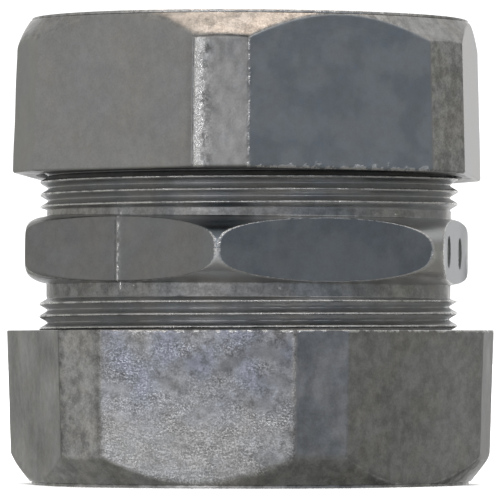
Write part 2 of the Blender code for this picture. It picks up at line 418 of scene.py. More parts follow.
def thread_tone(angle, z, neck_z):
    """Tone of the thread: the neck's where they meet at neck_z, and painted shade in a band by the upper
    nut. A thread inside a nut has no neck_z."""
    if neck_z is None:
        return tone_across(angle, *UPPER_THREAD_TONE)
    tone = tone_across(angle, *(LOWER_THREAD_TONE if neck_z < 0 else UPPER_THREAD_TONE))
    # Painted shade: a dark band on the upper thread at the edge of the upper nut's gap
    start, end = GAP_SHADE_BAND
    gap_shade = ease((z - start) / THREAD_FADE) * ease((end - z) / THREAD_FADE)
    beyond = ease(np.abs(z - neck_z) / THREAD_FADE)
    neck = neck_shade(angle, neck_z)
    return neck + (tone - neck) * beyond + GAP_SHADE_TONE * gap_shade


def thread_rows(skin, low, high, crest_z, grow=0.0, shape=None, tone=0.0, neck_z=None):
    """The helical rows between two plain ones, lowest first. low and high are their (row, z, radius)."""
    (low_row, low_z, _), (high_row, high_z, _) = low, high
    share = skin.angles / TURN
    step = PITCH / POINTS_PER_TURN
    start = low_z - PITCH - step
    phase = (crest_z - start) % PITCH
    count = POINTS_PER_TURN * (math.ceil((high_z - low_z) / PITCH) + 3)
    rows = []
    for k in range(count):
        z = start + k * step + share * PITCH
        radius, wear_and_glint = thread_profile(k * step, phase, grow)
        radius = np.broadcast_to(radius, z.shape).copy()
        for _, end_z, end_radius in (low, high):
            fade = np.clip(np.abs(z - end_z) / THREAD_RUNOUT, 0, 1)
            radius = end_radius + (radius - end_radius) * ease(fade)
        if shape is not None:
            radius = shape(radius, z)
        below = z < low_z + step / 3
        above = z > high_z - step / 3
        place = polar(radius, skin.angles, z)
        # The crests' bright line, partly rubbed and partly a painted highlight, broken up by noise
        worn = wear_and_glint * np.clip(0.95 + 0.35 * THREAD_NOISE(place * 0.5), 0.3, 1.3)
        paint = tone + thread_tone(skin.angles, z, neck_z)
        height = np.clip(z, low_z, high_z)
        ids = skin.row(radius, height, worn, THREAD_SAND, paint, THREAD_COOL)[:-1]
        ids = np.where(below, low_row[:-1], np.where(above, high_row[:-1], ids))
        rows.append(ids)
    beyond = [high_row[:-1]] * POINTS_PER_TURN
    after = rows[POINTS_PER_TURN:] + beyond
    return [np.append(row, following[0]) for row, following in zip(rows, after)]


def seam_offset(angle, radius):
    """How far each point is from the nearer of the two parting seams, to the right of it."""
    offsets = [turned(angle - seam) for seam in (SEAM_ANGLE, SEAM_ANGLE + math.pi)]
    return np.where(np.abs(offsets[0]) < np.abs(offsets[1]), *offsets) * radius


def seam_finish(angle, radius, z):
    """Height, wear and tone of the rough line that the two die halves leave on the body."""
    away = seam_offset(angle, radius)
    rough = np.clip(0.75 + 0.6 * SEAM_NOISE(polar(radius, angle, z)), 0, 1.5)
    ridge = bell(away, SEAM_RIDGE)
    groove = bell(away - SEAM_GROOVE, SEAM_RIDGE)
    height = (ridge * rough - groove * 0.7) * SEAM_HEIGHT
    wear_and_glint = np.clip(1.2 * ridge * rough, 0, 1)
    tone = 0.3 * bell(away, SEAM_HALO) * rough - 0.40 * groove * np.clip(rough, 0.2, 1)
    return height, wear_and_glint, tone


def dense_angles(count, centres, reach, extra):
    """Even columns, with a few more round each of the centres."""
    even = np.arange(count) / count * TURN
    more = [(centre + offset) % TURN for centre in centres for offset in np.linspace(-reach, reach, extra)]
    merged = np.sort(np.concatenate([even, more]))
    apart = np.diff(np.append(merged, merged[0] + TURN)) > LEAST_COLUMN
    return merged[apart]


def corner_blend(angle, values):
    """A smooth change between values given at the six corners of the ring."""
    place = ((angle - RIGHT_CORNER) / SIXTH) % 6
    left = np.floor(place).astype(int) % 6
    values = np.array(values)
    return values[left] + (values[(left + 1) % 6] - values[left]) * ease(place % 1)


def ring_shapes(angle, z):
    """Radius of the ring's barrel and of its flats at this height."""
    corner = corner_blend(angle, CORNER_RADII)
    power = corner_blend(angle, CORNER_POWERS)
    half_height = FLAT_HALF_HEIGHT + corner_blend(angle, CORNER_RISES if z > 0 else CORNER_FALLS)
    drop = (corner**2 - FLAT_APOTHEM**2) * (abs(z) / half_height) ** power
    barrel = np.sqrt(np.maximum(corner**2 - drop, BARREL_LEAST**2))
    from_flat = (angle - FRONT_CORNER) % SIXTH - SIXTH / 2
    flat = FLAT_APOTHEM / np.cos(from_flat)
    for centre, rise in CORNER_BULGES:
        bulge = rise * bell(turned(angle - centre), BULGE_REACH)
        flat = flat + bulge
        barrel = barrel + bulge
    return barrel, flat


def dimples(angle, z):
    """1 inside the two round dimples, and 0 outside them."""
    beside = turned(angle - DIMPLE_FLAT)
    along = FLAT_APOTHEM * np.tan(np.clip(beside, -1.2, 1.2))
    away = DIMPLE_RADIUS - np.hypot(np.abs(along) - DIMPLE_OFFSET, z)
    return np.where(np.abs(beside) < 1.0, ease(away / DIMPLE_EDGE), 0)


def ring_surface(angle, z):
    """Radius, bright edges, tone and cool of the hexagonal ring: a barrel with six oval flats. The bright
    edges are painted highlights, and much of the tone is painted light and shade.
    """
    barrel, flat = ring_shapes(angle, z)
    dimple = dimples(angle, z)
    radius = smooth_min(flat, barrel, corner_blend(angle, CORNER_BLENDS)) - dimple * DIMPLE_DEPTH
    on_flat = ease((barrel - flat) / (0.1 * MM) + 0.5)
    in_neck = ease((NECK_RADIUS - radius) / (0.1 * MM))
    right = ease((np.sin(angle - FRONT_CORNER) + 0.1) * 8)
    front = bell(turned(angle - FRONT_CORNER), math.radians(9))

    # Painted highlight along the edges of the ovals, stronger on the right and below
    rim = bell(flat - barrel, 0.19 * MM) * (0.72 + 0.38 * right) * (0.85 + 0.35 * (z < 0))
    rim = rim * (1 - 0.42 * front * ease(0.5 - z / (1.5 * MM)))

    # Painted light and shade: a paler barrel at the corners, darker above and paler below at the front and
    # right
    barrel_light_and_shade = corner_blend(angle, CORNER_PAINTED_LIGHT)
    barrel_light_and_shade = barrel_light_and_shade + front * np.clip(-z / (1.5 * MM), -1.5, 1.0) * 0.5
    right_end = bell(turned(angle - RIGHT_CORNER), math.radians(14))
    barrel_light_and_shade = barrel_light_and_shade - 0.22 * right_end * np.clip(z / (2.5 * MM), -0.8, 1)
    # Painted highlight along the lower edges of the flats
    lower_edge = 0.35 * rim * (1 - right) + 0.55 * bell(flat - barrel, 0.28 * MM) * right
    barrel_light_and_shade = barrel_light_and_shade + lower_edge * (z < 0)
    # The flats are darker, more so on the left: partly the metal's own tarnish, partly painted shade between
    # the two nuts
    flat_tone = -0.2 - 0.06 * (1 - right) + DIMPLE_TONE * dimple
    tone = barrel_light_and_shade + (flat_tone - barrel_light_and_shade) * on_flat
    tone = np.where(in_neck > 0.5, neck_shade(angle, z), tone)

    cool = 0.35 * on_flat * right + 0.8 * front * (1 - on_flat) * (1 - in_neck) * (z > 0)
    radius = smooth_max(radius, NECK_RADIUS, 0.25 * MM)
    return radius, rim * (1 - in_neck), tone, cool


def ring_rows(skin, angles):
    rows = []
    smooth = plateau(turned(angles - DIMPLE_FLAT), SMOOTH_FLAT_REACH)
    uneven = (0.010 - 0.0098 * smooth) * MM
    for z in np.linspace(-RING_HALF, RING_HALF, RING_ROWS):
        radius, wear_and_glint, tone, cool = ring_surface(angles, z)
        height, seam_wear, seam_tone = seam_finish(angles, radius, z)
        place = polar(radius, angles, z)
        # glitter: painted sparkle on the necks, carried as bright metal
        glitter = 0.8 * ease(NECK_NOISE(place * np.array([0.6, 0.6, 1.0])) - 0.9)
        glitter = glitter * (tone < 0) * (np.abs(z) > FLAT_HALF_HEIGHT)
        wear_and_glint = np.maximum(np.maximum(wear_and_glint, seam_wear), glitter)
        sand = 0.12 - 0.11 * smooth + 0.22 * ease((NECK_RADIUS + 0.3 * MM - radius) / (0.2 * MM))
        radius = radius + RING_NOISE(place) * uneven + height
        rows.append(skin.row(radius, z, wear_and_glint, sand, tone + seam_tone, cool, angles))
    return rows


def put(name, data):
    """A new object in the scene."""
    made = bpy.data.objects.new(name, data)
    bpy.context.scene.collection.objects.link(made)
    return made


def add_piece(name, mesh, material, body, node, sharp=50):
    mesh.shade_smooth()
    mesh.set_sharp_from_angle(angle=math.radians(sharp))
    mesh.materials.append(material)
    piece = put(name, mesh)
    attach(piece, body)
    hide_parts(node)
    return piece


def bore_outline(half):
    """(z, radius) down the bore: the upper seat, the conduit stop and the lower seat."""
    seat_foot = half - (SEAT_MOUTH - BORE_RADIUS)
    stop_foot = STOP_HALF + BORE_RADIUS - STOP_RADIUS
    outline = [(half, SEAT_MOUTH + SEAT_LIP), (half - SEAT_LIP, SEAT_MOUTH), (seat_foot, BORE_RADIUS)]
    outline += [(z, BORE_RADIUS) for z in np.linspace(seat_foot - MM, stop_foot + 0.1 * MM, 8)]
    outline += [(stop_foot, BORE_RADIUS), (STOP_HALF, STOP_RADIUS)]
    return outline + [(-z, radius) for z, radius in outline[::-1]]


def build_body(material):
    seams = (SEAM_ANGLE, SEAM_ANGLE + math.pi)
    angles = dense_angles(BODY_COLUMNS, seams, SEAM_REACH, SEAM_COLUMNS)
    skin = Skin(angles)
    steps = np.diff(np.append(angles, angles[0] + TURN))
    fine_angles = (angles[:, None] + steps[:, None] * np.arange(RING_SPLIT) / RING_SPLIT).ravel()
    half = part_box("coupling_body")[1].z

    def worn(radius, z):
        nicks = THREAD_NOISE(polar(radius, angles, z)) * THREAD_NICKS
        return radius + nicks + seam_finish(angles, radius, z)[0] * 0.6

    def neck_row(z):
        return skin.row(NECK_RADIUS, z, sand=NECK_SAND, tone=neck_shade(angles, z))

    def outer_thread(low, high, crest_z, neck_z):
        rows = thread_rows(skin, low, high, crest_z, shape=worn, neck_z=neck_z)
        return [low[0]] + rows + [high[0]]

    bottom = skin.row(BODY_LIP, -half)
    neck = (neck_row(-LOWER_NECK_END), -LOWER_NECK_END, NECK_RADIUS)
    lower = outer_thread((bottom, -half, BODY_LIP), neck, LOWER_CREST_Z, -LOWER_NECK_END)
    ring = ring_rows(skin, fine_angles)
    neck = (neck_row(UPPER_NECK_END), UPPER_NECK_END, NECK_RADIUS)
    top = (skin.row(BODY_LIP, half), half, BODY_LIP)
    upper = outer_thread(neck, top, UPPER_CREST_Z, UPPER_NECK_END)
    inside = [skin.row(radius, z) for z, radius in bore_outline(half)]
    below_ring = neck_row(NECK_STEP - LOWER_NECK_END)
    above_ring = neck_row(UPPER_NECK_END - NECK_STEP)
    for group in (lower + [below_ring], ring, [above_ring] + upper + inside + [bottom]):
        for row, following in zip(group, group[1:]):
            skin.strip(row, following)
    skin.fan(below_ring, ring[0], RING_SPLIT)
    skin.fan(above_ring, ring[-1], RING_SPLIT, coarse_below=False)
    mesh = skin.mesh("cast_coupling_body", lean=BODY_LEAN)
    return add_piece("cast_coupling_body", mesh, material, "coupling", "coupling_body")


class NutShape:
    """The outside of one nut. h is the height above its open end, towards the outer end.

    turn is the angle of its first narrow face. finish gives the sand and tone of single faces, spare
    how far its corners stand past the CAD's, blends how far the chamfer is rounded off at the left and
    at the right, and wider how much further out its end reaches at the right."""

    def __init__(self, node, turn, chamfer_height, spare, blends, finish, seed, wider=0.0):
        low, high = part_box(node)
        self.side = 1 if low.z > 0 else -1
        self.start = low.z if self.side > 0 else high.z
        self.height = high.z - low.z
        self.corner = max(v.co.xy.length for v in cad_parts[node].data.vertices) + spare
        rng = np.random.default_rng(seed)
        self.faces = []
        for k in range(6):
            centre = turn + k * SIXTH
            self.faces.append((centre, NUT_NARROW_HALF))
            self.faces.append((centre + SIXTH / 2, SIXTH / 2 - NUT_NARROW_HALF))
        self.corners = [centre + side * NUT_NARROW_HALF for centre, _ in self.faces[::2] for side in (-1, 1)]
        self.blends = rng.uniform(0.12, 0.20, len(self.faces)) * MM
        self.chamfer_blends = blends
        top_corner = self.corner - (self.height - chamfer_height) * math.tan(NUT_DRAFT)
        self.slope = (top_corner - NUT_END_RADIUS) / chamfer_height
        self.wider = wider
        self.finish = np.array([finish.get(n, PLAIN_FINISH) for n in range(len(self.faces))])
        self.soft = Waves(seed + 1, 7 * MM)
        self.rough = Waves(seed + 2, 0.9 * MM)
        self.ragged = Waves(seed + 3, 1.3 * MM)

    def z_at(self, h):
        return self.start + self.side * h

    def place(self, radius, angle, h):
        return polar(radius, angle, self.z_at(h))

    def from_face(self, angle, face):
        """Angle to the right of the middle of a face."""
        return turned(angle - self.faces[face][0])

    def end_radius(self, angle):
        return NUT_END_RADIUS + self.wider * ease((np.sin(angle) - 0.3) / 0.5)

    def cone(self, angle, h):
        """Radius of the chamfer."""
        return self.end_radius(angle) + (self.height - h) * self.slope

    def on_face(self, angle, h, radius):
        """1 on the faces and 0 on the chamfer."""
        return ease((self.cone(angle, h) - radius - 0.02 * MM) / (0.12 * MM))

    def outside(self, angle, h):
        """Radius, nearness to the chamfer's edge, sand and tone at these angles, at height h."""
        corner = self.corner - h * math.tan(NUT_DRAFT)
        planes = []
        radius = np.full_like(angle, FAR)
        for (centre, half), blend in zip(self.faces, self.blends):
            beside = turned(angle - centre)
            seen = np.abs(beside) < math.radians(70)
            planes.append(np.where(seen, corner * math.cos(half) / np.cos(np.where(seen, beside, 0)), FAR))
            radius = smooth_min(radius, planes[-1], blend)
        sand, tone = self.finish[np.argmin(planes, axis=0)].T
        cone = self.cone(angle, h)
        below_chamfer = ease((cone - radius) / (0.2 * MM) + 0.5)
        rim = bell(cone - radius, 0.10 * MM)
        sand = sand * below_chamfer + 0.30 * (1 - below_chamfer)
        tone = tone * below_chamfer
        left, right = self.chamfer_blends
        blend = right + (left - right) * ease(0.5 - 1.5 * np.sin(angle - math.radians(-15)))
        rounding = self.strip_rounding(along_arc(angle, self.corners[0], radius))
        return smooth_min(radius - rounding, cone, blend), rim, sand, tone

    def strip_rounding(self, beside):
        """How far the upper nut's metal falls away just to the right of its first corner."""
        if self.side < 0:
            return 0.0
        share = np.clip(1 - beside / STRIP_WIDTH, 0, 1)
        return STRIP_DEPTH * share**2 * ease(beside / (0.3 * MM) + 1.0)


def upper_nut_wear_and_glint(shape, angle, h, radius, beside, strip, front):
    """Bright metal: the strip, a thin line at the next corner, specks below and a painted glint on top."""
    place = shape.place(radius, angle, h)
    noise, fine = shape.ragged(place), shape.rough(place)
    line = bell(along_arc(angle, shape.corners[1], radius), 0.20 * MM) * np.clip(0.8 + 0.5 * fine, 0, 1)
    specks = (0.55 + 0.25 * noise + 0.2 * fine) * MM
    on_wide = np.abs(shape.from_face(angle, WIDE)) < math.radians(24)
    specks = 0.8 * ease((specks - h) / (0.3 * MM) + 0.3) * on_wide
    # glint: a painted highlight under the chamfer's edge of the narrow front face
    glint = bell(h - shape.height + 3.70 * MM, 0.18 * MM) * ease(1.0 - beside / (4.5 * MM)) * front
    return np.maximum(np.maximum(strip, line * below_rim(shape, h)), np.maximum(specks, glint))


def below_rim(shape, h):
    """1 on the upper nut's narrow front face and 0 on the chamfer above it."""
    return ease((shape.height - 3.65 * MM - h) / (0.4 * MM) + 0.5)


def upper_nut_finish_and_light(shape, angle, h, radius, rim, sand, tone):
    """Wear, sand, tone and cool: a rough bright strip on the narrow face, and a bluish wide one."""
    place = shape.place(radius, angle, h)
    beside = along_arc(angle, shape.corners[0], radius) - 0.08 * MM
    width = (1.05 + 0.30 * shape.ragged(place)) * MM
    strip = ease(beside / (0.12 * MM) + 0.9) * ease((width - beside) / (0.7 * MM) + 0.5)
    strip = strip * below_rim(shape, h)
    front = ease((NUT_NARROW_HALF * 1.15 - np.abs(shape.from_face(angle, NARROW))) * 40)
    wear_and_glint = upper_nut_wear_and_glint(shape, angle, h, radius, beside, strip, front)

    on_face = shape.on_face(angle, h, radius)
    on_chamfer = 1 - on_face
    from_left = ease((np.sin(angle) + 0.37) / 0.2)
    ripples = front * below_rim(shape, h) * ease(1.3 - beside / (2.8 * MM))
    cast = 0.48 * on_chamfer * ease(np.cos(angle) * 3 - 1.6) * from_left
    sand = np.maximum(np.maximum(sand, 0.6 * ripples), cast)

    wavy = shape.ragged(place * np.array([1.0, 1.0, 0.5]))
    upper_half = ease((h - 6 * MM) / (9 * MM))
    dull = front * (0.06 + 0.12 * upper_half - 0.08 * wavy) * below_rim(shape, h)
    left_shade = bell(beside + 0.65 * MM, 0.55 * MM) * (beside < -0.1 * MM) * on_face
    tone = tone + 0.35 * strip - dull - 0.6 * rim * front
    tone = tone - 0.12 * (left_shade + on_chamfer * (1 - from_left))

    on_wide = ease((math.radians(23.7) - np.abs(shape.from_face(angle, WIDE))) * 80)
    return wear_and_glint, sand, tone, 0.45 * on_wide * on_face


def lower_nut_finish_and_light(shape, angle, h, radius, rim, sand, tone):
    """Wear, sand, tone and cool. The front face is bluish above, paler and rougher below and left."""
    place = shape.place(radius, angle, h)
    clouds = shape.soft(place)
    along = along_arc(angle, shape.faces[WIDE][0], radius)
    right_face = along_arc(angle, shape.faces[NEXT_WIDE][0], radius)
    on_right = np.abs(right_face) < 13 * MM
    on_face = shape.on_face(angle, h, radius)
    on_front = ease((math.radians(23.4) - np.abs(along / radius)) * 60) * on_face
    down = ease((h - 4 * MM) / (10 * MM))
    left = ease(0.5 - along / (18 * MM))
    right = ease(along / (11 * MM))
    patchy = 0.25 * shape.soft(place * np.array([1.0, 1.0, 2.2]))
    # Painted highlight along the chamfer's edge on the right, as bright metal and paler tone
    chamfer_glint = rim * on_right * np.clip(0.5 + 0.5 * shape.rough(place), 0, 1)

    edge = ease((0.5 * MM - h) / (0.5 * MM) + 0.3) * np.clip(0.8 + 0.6 * shape.ragged(place), 0, 1)
    wear_and_glint = np.maximum(edge * ease((turned(angle) + 0.65) / 0.1), 0.75 * chamfer_glint)

    rough = np.clip(0.42 + 0.40 * down + 0.30 * left * (1 - down) + patchy, 0.15, 1.0)
    sand = sand * (1 - on_front) + on_front * rough

    tone = tone + on_front * (0.34 * down + 0.15 * left + 0.15 * patchy - 0.12 - 0.05 * right)
    tone = tone + 0.10 * np.clip(right_face / (9 * MM), -1, 1) * on_right + 0.45 * chamfer_glint
    left_face = ease((0.38 - np.abs(shape.from_face(angle, LAST_WIDE))) * 20)
    tone = tone + 0.17 * left_face * shape.soft(place * np.array([0.35, 0.35, 1.0]))
    tone = tone - lower_nut_shade(shape, angle, h, radius, right_face, on_face)

    narrow = ease((NUT_NARROW_HALF - np.abs(shape.from_face(angle, NEXT_NARROW))) * 80)
    cool = on_front * (1.0 - 0.9 * down) * (0.7 + 0.5 * clouds)
    return wear_and_glint, sand, tone, cool + 0.22 * narrow * on_face * (1 - 0.6 * down)


def lower_nut_shade(shape, angle, h, radius, right_face, on_face):
    """Darker metal at the first three corners and on the right of the chamfer."""
    dark = bell(along_arc(angle, shape.corners[0], radius), 0.5 * MM)
    dark = dark + bell(along_arc(angle, shape.corners[1] - 0.01, radius), 0.4 * MM)
    plain = ease((shape.height - 3.9 * MM - h) / (0.5 * MM) + 0.5)
    corner = bell(along_arc(angle, shape.corners[2], radius), 0.35 * MM)
    end = ease((shape.from_face(angle, NEXT_WIDE) + 0.32) / 0.12) * (right_face < 24 * MM)
    return 0.25 * dark * plain + 0.14 * corner * on_face + 0.34 * end * (1 - on_face)


def nut_side_heights(height, fillet):
    low = fillet * (1 - np.cos(np.linspace(0, math.pi / 2, 7)))[:-1]
    straight = np.linspace(fillet, height - NUT_CHAMFER_ZONE, 60)[:-1]
    chamfer = np.linspace(height - NUT_CHAMFER_ZONE, height - NUT_RIM_HEIGHT, 34)
    return np.concatenate([low, straight, chamfer])


def nut_side_rows(skin, shape, fillet, paint):
    """The faces and the chamfer, from the open end outwards."""
    angles = skin.angles
    smooth = plateau(shape.from_face(angles, NEXT_WIDE), math.radians(25)) if shape.side > 0 else 0.0
    rows = []
    for h in nut_side_heights(shape.height, fillet):
        radius, rim, sand, tone = shape.outside(angles, h)
        wear_and_glint, sand, tone, cool = paint(shape, angles, h, radius, rim, sand, tone)
        if h < fillet:
            radius = radius - fillet * (1 - math.sqrt(max(0.0, 1 - (1 - h / fillet) ** 2)))
        place = shape.place(radius, angles, h)
        uneven = shape.soft(place) * 0.015 + shape.rough(place) * (0.004 + 0.022 * wear_and_glint)
        radius = radius + uneven * (1 - 0.97 * smooth) * MM
        rows.append(skin.row(radius, shape.z_at(h), wear_and_glint, sand, tone, cool))
    return rows


def nut_rim_rows(skin, shape):
    """The low raised rim round the outer end, with painted shade in the crease under it, and a bright
    edge, partly rubbed and partly a painted highlight, strongest towards the front.
    """
    height, land = shape.height, shape.height - NUT_RIM_HEIGHT
    ledge = NUT_RIM_LEDGE if shape.side > 0 else 0.02 * MM
    # Painted shade in the crease under the rim
    crease = 0.25 if shape.side > 0 else 0.05
    profile = (
        (land + 0.01 * MM, -ledge * 0.3, -crease),
        (land + 0.04 * MM, ledge * 0.2, -crease / 2),
        (land + 0.08 * MM, ledge, 0.1),
        (height - 0.08 * MM, ledge, 0.1),
        (height - 0.02 * MM, 0.02 * MM, 0.1),
        (height, -0.12 * MM, 0.0),
    )
    # The rim's bright edge is strongest towards the front: partly rubbed, partly a painted highlight
    facing = ease(np.cos(skin.angles - math.radians(10)) * 2 - 0.9)
    rows = []
    for h, out, tone in profile:
        radius = shape.end_radius(skin.angles) + out
        ragged = shape.rough(shape.place(radius, skin.angles, h))
        wear_and_glint = np.clip(0.1 + 0.85 * facing + 0.2 * ragged, 0, 1) * (tone > 0) * (0.55 + 0.45 * shape.side)
        rows.append(skin.row(radius + ragged * 0.02 * MM, shape.z_at(h), wear_and_glint, 0.4, tone))
    return rows


def nut_entry_rows(skin, shape):
    """The flat outer end, the conduit entry with its rounded edge, the shoulder and the cavity."""
    height = shape.height
    rows = []
    for radius in np.linspace(NUT_END_RADIUS - 0.6 * MM, NUT_ENTRY_RADIUS + NUT_ENTRY_ROUND, 8):
        rows.append(skin.row(radius, shape.z_at(height)))
    for turn in np.linspace(0, math.pi / 2, 5)[1:]:
        radius = NUT_ENTRY_RADIUS + NUT_ENTRY_ROUND * (1 - math.sin(turn))
        rows.append(skin.row(radius, shape.z_at(height - NUT_ENTRY_ROUND * (1 - math.cos(turn))), 0.2))
    shoulder_foot = NUT_SHOULDER_TOP - (NUT_CAVITY_RADIUS - NUT_ENTRY_RADIUS)
    outline = [(h, NUT_ENTRY_RADIUS) for h in np.linspace(height - MM, NUT_SHOULDER_TOP, 4)]
    outline += [(shoulder_foot, NUT_CAVITY_RADIUS), (NUT_THREAD_END, NUT_CAVITY_RADIUS)]
    return rows + [skin.row(radius, shape.z_at(h)) for h, radius in outline]


def nut_mouth_rows(skin, shape, fillet):
    """The mouth below the thread and the flat open end, darkened with painted shade."""
    rows = [skin.row(NUT_MOUTH_RADIUS, shape.z_at(0.1 * MM), tone=NUT_MOUTH_SHADE)]
    rows.append(skin.row(NUT_MOUTH_RADIUS + 0.1 * MM, shape.z_at(0.0), tone=-0.5))
    outer, *_ = shape.outside(skin.angles, 0.0)
    for share in (0.3, 0.7):
        radius = NUT_MOUTH_RADIUS + (outer - fillet - NUT_MOUTH_RADIUS) * share
        rows.append(skin.row(radius, shape.z_at(0.0), 0.1, 0.16, NUT_MOUTH_SHADE))
    return rows


def build_nut(end, shape, crest_z, fillet, paint, material, lean=0.0, sag=None):
    skin = Skin(dense_angles(NUT_COLUMNS, shape.corners, CORNER_REACH, CORNER_COLUMNS))
    rows = nut_side_rows(skin, shape, fillet, paint) + nut_rim_rows(skin, shape)
    rows += nut_entry_rows(skin, shape)
    mouth = skin.row(NUT_MOUTH_RADIUS, shape.z_at(NUT_THREAD_START), tone=NUT_MOUTH_SHADE)
    ends = [(mouth, shape.z_at(NUT_THREAD_START), NUT_MOUTH_RADIUS)]
    ends.append((rows[-1], shape.z_at(NUT_THREAD_END), NUT_CAVITY_RADIUS))
    low, high = ends[:: shape.side]
    thread = thread_rows(skin, low, high, crest_z, grow=THREAD_PLAY, tone=INNER_THREAD_SHADE)
    rows += thread[:: -shape.side] + [mouth] + nut_mouth_rows(skin, shape, fillet)
    for row, following in zip(rows, rows[1:] + rows[:1]):
        skin.strip(row, following)
    name = f"cast_{end}_nut"
    mesh = skin.mesh(name, lean, sag)
    return add_piece(name, mesh, material, f"{end}_nut", f"{end}_compression_nut")


def upper_nut_sag(points):
    """How far the upper nut's open end hangs down: it was cast a little out of square."""
    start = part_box("upper_compression_nut")[0].z
    drop = np.clip(UPPER_NUT_SAG + UPPER_NUT_SAG_SLOPE * points[:, 1], 0.0, UPPER_NUT_SAG_MOST)
    outer = np.hypot(points[:, 0], points[:, 1]) > NUT_MOUTH_RADIUS - 0.01 * MM
    reach = np.where(outer, UPPER_NUT_SAG_REACH, NUT_THREAD_START)
    return drop * np.clip(1 - (points[:, 2] - start) / reach, 0, 1)


class Nodes:
    """Short names for making and joining the shader nodes of a material or world."""

    def __init__(self, owner):
        owner.use_nodes = True
        self.tree = owner.node_tree
        self.coordinates = self.new("ShaderNodeTexCoord").outputs

    def new(self, kind):
        return self.tree.nodes.new(kind)

    def fill(self, node, inputs):
        """Links or sets some of the node's inputs, given by name or number."""
        for name, source in inputs.items():
            if isinstance(source, bpy.types.NodeSocket):
                self.tree.links.new(source, node.inputs[name])
            else:
                node.inputs[name].default_value = source

    def noise(self, size, detail=4.0, rough=0.55, offset=0.0, upright=None):
        """Noise of this size, or of this size across and another one upright."""
        vector = self.coordinates["Object"]
        scale = 1 / size
        if upright is not None:
            node = self.new("ShaderNodeMapping")
            self.fill(node, {"Vector": vector, "Scale": (scale, scale, 1 / upright)})
            vector = node.outputs["Vector"]
            scale = 1.0
        node = self.new("ShaderNodeTexNoise")
        node.noise_dimensions = "4D"
        inputs = {"Vector": vector, "W": offset, "Scale": scale, "Detail": detail, "Roughness": rough}
        self.fill(node, inputs)
        return node.outputs["Fac"]

    def ramp(self, source, low, high, to_low=0.0, to_high=1.0):
        node = self.new("ShaderNodeMapRange")
        node.interpolation_type = "SMOOTHSTEP"
        self.fill(node, {"Value": source, "From Min": low, "From Max": high})
        self.fill(node, {"To Min": to_low, "To Max": to_high})
        return node.outputs["Result"]

    def spread(self, source):
        """A noise stretched to run from -0.5 to 0.5."""
        return self.ramp(source, 0.34, 0.66, -0.5, 0.5)

    def math(self, operation, *sources):
        node = self.new("ShaderNodeMath")
        node.operation = operation
        self.fill(node, dict(enumerate(sources)))
        return node.outputs[0]

    def plus(self, a, b):
        return self.math("ADD", a, b)

    def times(self, a, b):
        return self.math("MULTIPLY", a, b)

    def mix(self, share, a, b):
        node = self.new("ShaderNodeMix")
        node.data_type = "RGBA"
        colours = [i for i, socket in enumerate(node.inputs) if socket.type == "RGBA"]
        self.fill(node, {"Factor": share} | dict(zip(colours, (a, b))))
        return next(s for s in node.outputs if s.type == "RGBA")

    def scaled(self, colour, factor):
        node = self.new("ShaderNodeVectorMath")
        node.operation = "SCALE"
        self.fill(node, {0: colour, "Scale": factor})
        return node.outputs[0]

    def attribute(self, name):
        node = self.new("ShaderNodeAttribute")
        node.attribute_name = name
        return node.outputs["Fac"]

    def bump(self, height, distance, strength=1.0, normal=None):
        node = self.new("ShaderNodeBump")
        self.fill(node, {"Distance": distance, "Strength": strength, "Height": height})
        if normal:
            self.fill(node, {"Normal": normal})
        return node.outputs["Normal"]

    def metal(self, colour, roughness, normal):
        shader = self.tree.nodes["Principled BSDF"]
        self.fill(shader, {"Base Color": colour, "Roughness": roughness, "Normal": normal})
        shader.inputs["Metallic"].default_value = 1.0


def grey(value, warmth=0.0):
    """A linear grey, pushed to yellow where warmth is above 0 and to blue below it."""
    return (value * (1 + warmth), value, value * (1 - warmth), 1.0)


def zinc_level(n, mottle, sand, tone, sandy, cloud, spots):
    """Brightness of the zinc: its tone, with tarnish, fine specks and a painted sparkle on sandy skin."""
    smear = n.spread(n.noise(2 * MM, 4, 0.6, offset=7.0, upright=7 * MM))
    speck = n.noise(0.22 * MM, 2, 0.6, offset=6.0)
    blotchy = n.times(n.ramp(sand, 0.14, 0.45, 0.0, 0.52), n.ramp(sand, 0.45, 0.75, 1.0, 0.35))
    patchy = n.ramp(sand, 0.0, 0.1, 0.2 * mottle, mottle)
    level = n.plus(tone, 1.0)
    layers = ((cloud, 0.5, patchy), (smear, 0.25, patchy), (spots, 0.35, patchy), (spots, 1.0, blotchy))
    for layer, share, amount in layers:
        level = n.plus(level, n.times(layer, n.times(amount, share)))
    grained = n.ramp(sand, 0.08, 0.40, 0.2, 0.75)
    level = n.plus(level, n.times(n.math("SUBTRACT", speck, 0.5), grained))
    # glint: painted sparkle on sandy skin
    glint = n.times(n.ramp(speck, 0.42, 0.70, -0.3, 1.1), sandy)
    return n.plus(level, n.times(glint, 0.75))


def zinc_relief(n, grain, calm, sandy, wear_and_glint):
    """Fine grain and soft waves, torn metal where it is worn, and grit lying in rows where it is sandy."""
    fine = n.bump(n.noise(0.30 * MM, 3, 0.7, offset=2.0), 0.014 * MM * grain, calm)
    waves = n.bump(n.noise(2.4 * MM, 3, 0.55, offset=4.0), 0.03 * MM * grain, calm, normal=fine)
    burrs = n.plus(n.noise(0.34 * MM, 2, 0.7, offset=8.0), n.noise(0.8 * MM, 2, 0.6, offset=9.0))
    torn = n.bump(burrs, 0.32 * MM, n.times(wear_and_glint, 0.45), normal=waves)
    rows = n.noise(1.5 * MM, 2, 0.6, offset=9.0, upright=0.6 * MM)
    grit = n.plus(n.noise(0.24 * MM, 2, 0.7, offset=8.0), rows)
    return n.bump(grit, 0.32 * MM, n.times(sandy, 0.21), normal=torn)


